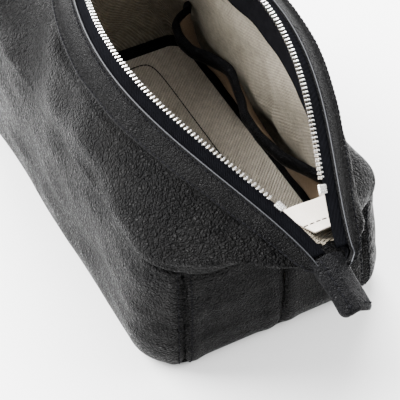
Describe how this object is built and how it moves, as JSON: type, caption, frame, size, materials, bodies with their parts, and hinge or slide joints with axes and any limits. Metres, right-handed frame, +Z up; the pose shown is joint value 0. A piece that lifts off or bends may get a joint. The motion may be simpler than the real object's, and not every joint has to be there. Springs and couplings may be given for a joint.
{
  "type": "toiletry bag",
  "caption": "Boxed toiletry bag in pebbled black leather with an open metal zip, a folded leather tab at each end, a canvas lining and an inner slip pocket.",
  "frame": {"origin": "centre of the flat base, on the floor", "axes": "+X along the zip towards the closed-off top stops, +Y across the bag towards the pocket wall, +Z up"},
  "size_m": [0.3974, 0.136, 0.1311],
  "materials": {
    "pebbled_leather": "pebbled black grain, soft sheen",
    "smooth_leather": "smooth black, semi matt",
    "tan_leather": "smooth brown, semi matt",
    "cream_leather": "smooth cream, matt",
    "canvas": "fine twill, matt",
    "zip_tape": "woven tape, matt",
    "board": "raw board, matt",
    "nickel": "polished nickel"
  },
  "bodies": {
    "bag": {"side_panel_front": "pebbled_leather", "side_panel_back": "pebbled_leather", "end_panel_right_front": "pebbled_leather", "end_panel_right_back": "pebbled_leather", "end_panel_left_front": "pebbled_leather", "end_panel_left_back": "pebbled_leather", "base_panel": "pebbled_leather", "base_stiffener": "board", "lining_front": "canvas", "lining_back": "canvas", "lining_base": "canvas", "base_trim": "smooth_leather", "zip_band_front": "smooth_leather", "zip_band_back": "smooth_leather", "zip_tape_front": "zip_tape", "zip_tape_back": "zip_tape", "zip_teeth_front": "nickel", "zip_teeth_back": "nickel", "top_stop_front": "nickel", "top_stop_back": "nickel", "bottom_stop": "nickel", "end_tab_right": "smooth_leather", "end_tab_left": "smooth_leather", "pocket_panel": "tan_leather", "pocket_binding": "smooth_leather", "end_facing": "cream_leather"},
    "slider": {"slider_body": "nickel", "slider_bridge": "nickel"},
    "puller": {"puller": "nickel"},
    "leather_pull": {"leather_pull": "smooth_leather", "pull_rivet": "nickel"}
  },
  "joints": [
    {"name": "slider_run", "type": "slide", "parent": "bag", "child": "slider", "axis": [0.9607, 0, 0.2777], "range_m": [0, 0.012]},
    {"name": "puller_swing", "type": "hinge", "parent": "slider", "child": "puller", "pos_m": [-0.14513, 0, 0.10982], "axis": [0, 1, 0], "range_deg": [0, 150]},
    {"name": "leather_pull_swing", "type": "hinge", "parent": "puller", "child": "leather_pull", "pos_m": [-0.16771, 0, 0.10665], "axis": [0, 1, 0], "range_deg": [0, 60]}
  ]
}
